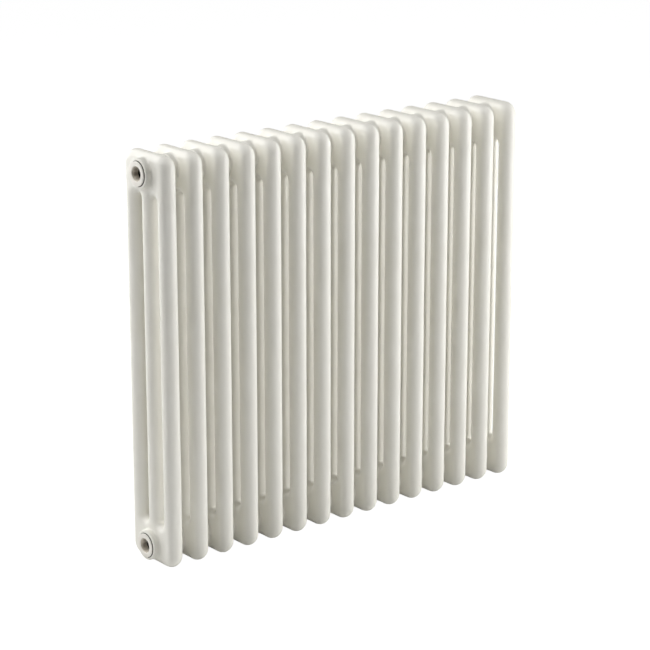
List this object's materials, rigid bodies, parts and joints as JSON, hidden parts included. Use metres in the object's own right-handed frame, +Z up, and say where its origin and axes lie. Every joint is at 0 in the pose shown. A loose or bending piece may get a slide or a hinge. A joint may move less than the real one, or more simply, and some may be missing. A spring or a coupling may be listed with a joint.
{
  "type": "column radiator",
  "caption": "White enamelled steel column radiator with slim round tubes between smooth pressed heads, open end tappings, a blanking plug and an air vent.",
  "frame": {"origin": "bottom centre of the whole assembly, midway between the left bushes' faces and the vent's tip, on the plane that the lower heads rest on", "axes": "+X along the row of sections towards the vent end, +Y from the front columns to the rear columns, +Z up"},
  "size_m": [0.6956, 0.101, 0.6],
  "materials": {
    "enamel": "gloss",
    "bush_enamel": "gloss",
    "nipple_steel": "machined",
    "gasket_silicone": "matte light grey",
    "rubber": "matte",
    "nickel": "satin nickel plate",
    "spout_plastic": "satin",
    "brass": "machined"
  },
  "bodies": {
    "radiator": {"header_top_01": "enamel", "header_top_02": "enamel", "header_top_03": "enamel", "header_top_04": "enamel", "header_top_05": "enamel", "header_top_06": "enamel", "header_top_07": "enamel", "header_top_08": "enamel", "header_top_09": "enamel", "header_top_10": "enamel", "header_top_11": "enamel", "header_top_12": "enamel", "header_top_13": "enamel", "header_top_14": "enamel", "header_top_15": "enamel", "header_bottom_01": "enamel", "header_bottom_02": "enamel", "header_bottom_03": "enamel", "header_bottom_04": "enamel", "header_bottom_05": "enamel", "header_bottom_06": "enamel", "header_bottom_07": "enamel", "header_bottom_08": "enamel", "header_bottom_09": "enamel", "header_bottom_10": "enamel", "header_bottom_11": "enamel", "header_bottom_12": "enamel", "header_bottom_13": "enamel", "header_bottom_14": "enamel", "header_bottom_15": "enamel", "columns_01": "enamel", "columns_02": "enamel", "columns_03": "enamel", "columns_04": "enamel", "columns_05": "enamel", "columns_06": "enamel", "columns_07": "enamel", "columns_08": "enamel", "columns_09": "enamel", "columns_10": "enamel", "columns_11": "enamel", "columns_12": "enamel", "columns_13": "enamel", "columns_14": "enamel", "columns_15": "enamel", "nipples_top": "nipple_steel", "nipples_bottom": "nipple_steel", "gaskets_top": "gasket_silicone", "gaskets_bottom": "gasket_silicone", "bush_seals": "rubber", "fitting_seals": "rubber", "bush_top_left": "bush_enamel", "bush_bottom_left": "bush_enamel", "bush_top_right": "bush_enamel", "bush_bottom_right": "bush_enamel", "blanking_plug": "nickel", "vent_body": "nickel"},
    "spout": {"vent_spout": "spout_plastic"},
    "bleed_screw": {"bleed_screw": "brass"}
  },
  "joints": [
    {"name": "spout_swivel", "type": "hinge", "parent": "radiator", "child": "spout", "pos_m": [0.33835, 0, 0.572], "axis": [1, 0, 0], "continuous": true},
    {"name": "bleed_screw_turn", "type": "hinge", "parent": "radiator", "child": "bleed_screw", "pos_m": [0.34135, 0, 0.572], "axis": [1, 0, 0], "range_deg": [0, 360]}
  ]
}
